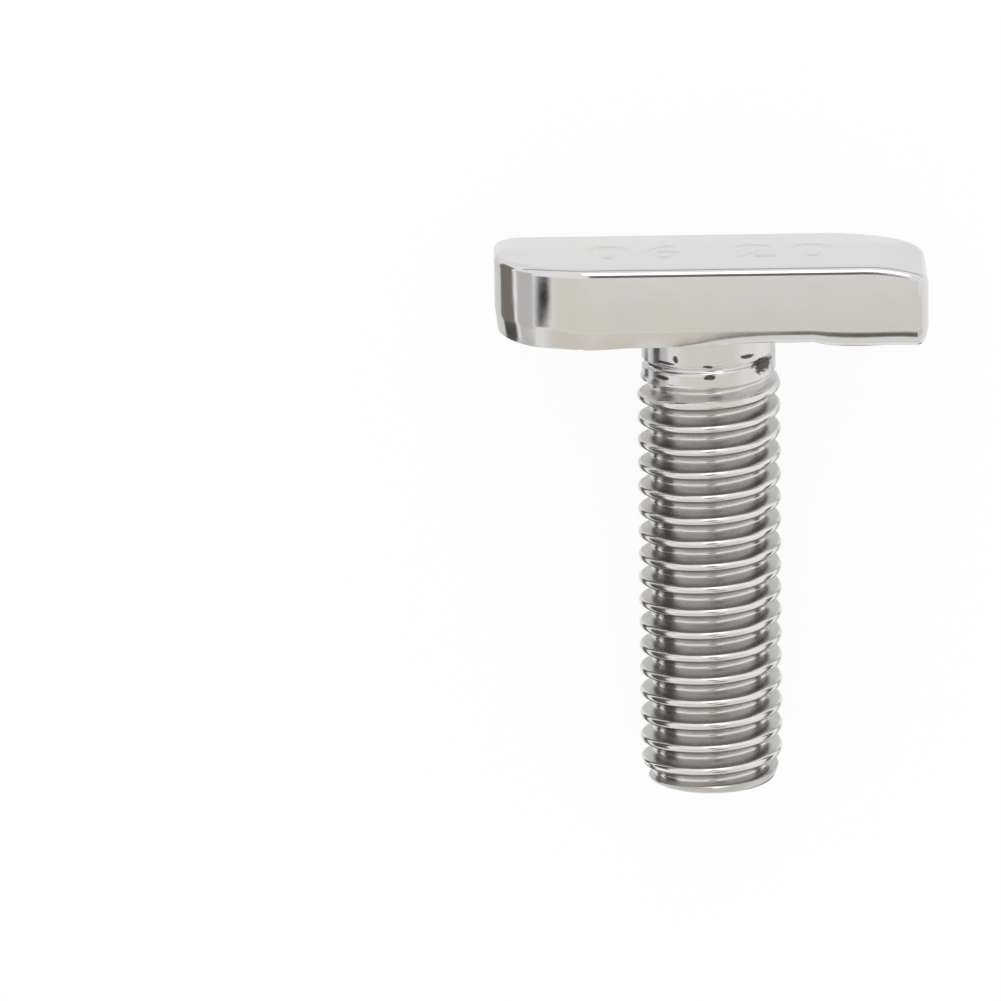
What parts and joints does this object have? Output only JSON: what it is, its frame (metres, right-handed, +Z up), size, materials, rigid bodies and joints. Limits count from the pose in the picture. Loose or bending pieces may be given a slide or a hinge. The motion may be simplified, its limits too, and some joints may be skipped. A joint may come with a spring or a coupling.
{
  "type": "t slot bolt",
  "caption": "Stainless T-slot bolt lying on its side: flat hammer head with two broad corners, short plain neck and a threaded shank with a coned point.",
  "frame": {"origin": "centre of the lying bolt's footprint, on the surface that it lies on", "axes": "+Y along the bolt from the point to the head, 3 degrees off the shank's axis; +X along the head's long axis; +Z up, the side that the head's front face looks to"},
  "size_m": [0.018, 0.0232, 0.0081],
  "materials": {
    "steel": "bright polished stainless steel"
  },
  "bodies": {
    "root": {"t_bolt": "steel"}
  },
  "joints": []
}
